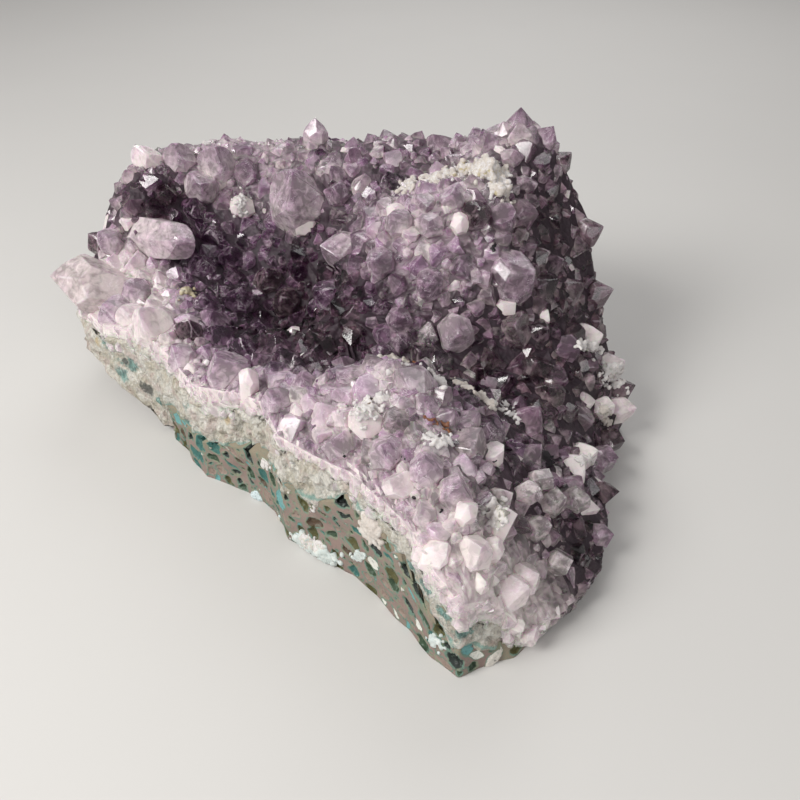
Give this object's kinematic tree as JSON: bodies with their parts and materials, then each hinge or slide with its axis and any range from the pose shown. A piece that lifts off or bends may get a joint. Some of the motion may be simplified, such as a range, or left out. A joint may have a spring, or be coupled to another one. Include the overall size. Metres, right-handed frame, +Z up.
{
  "type": "amethyst cluster",
  "caption": "Free-standing amethyst cluster: a broken piece of geode wall with a crust of purple quartz crystals over a cream rind and vesicular basalt matrix",
  "frame": {"origin": "on the flat underside, at the point of the resting face named as a mount", "axes": "+Z up out of the crystals, X along the long side with the pale left end at -X, -Y towards the near corner"},
  "size_m": [0.1767, 0.1669, 0.0886],
  "materials": {
    "basalt": "rough broken vesicular basalt, pinkish grey-brown, holes lined with green and teal",
    "rind": "sugary cream chalcedony and quartz, matt, with ochre and teal stains",
    "amethyst": "glassy purple to colourless quartz crystals with sharp bright faces"
  },
  "bodies": {
    "root": {"basalt_matrix": "basalt", "quartz_rind": "rind", "amethyst_crystals": "amethyst"}
  },
  "joints": []
}
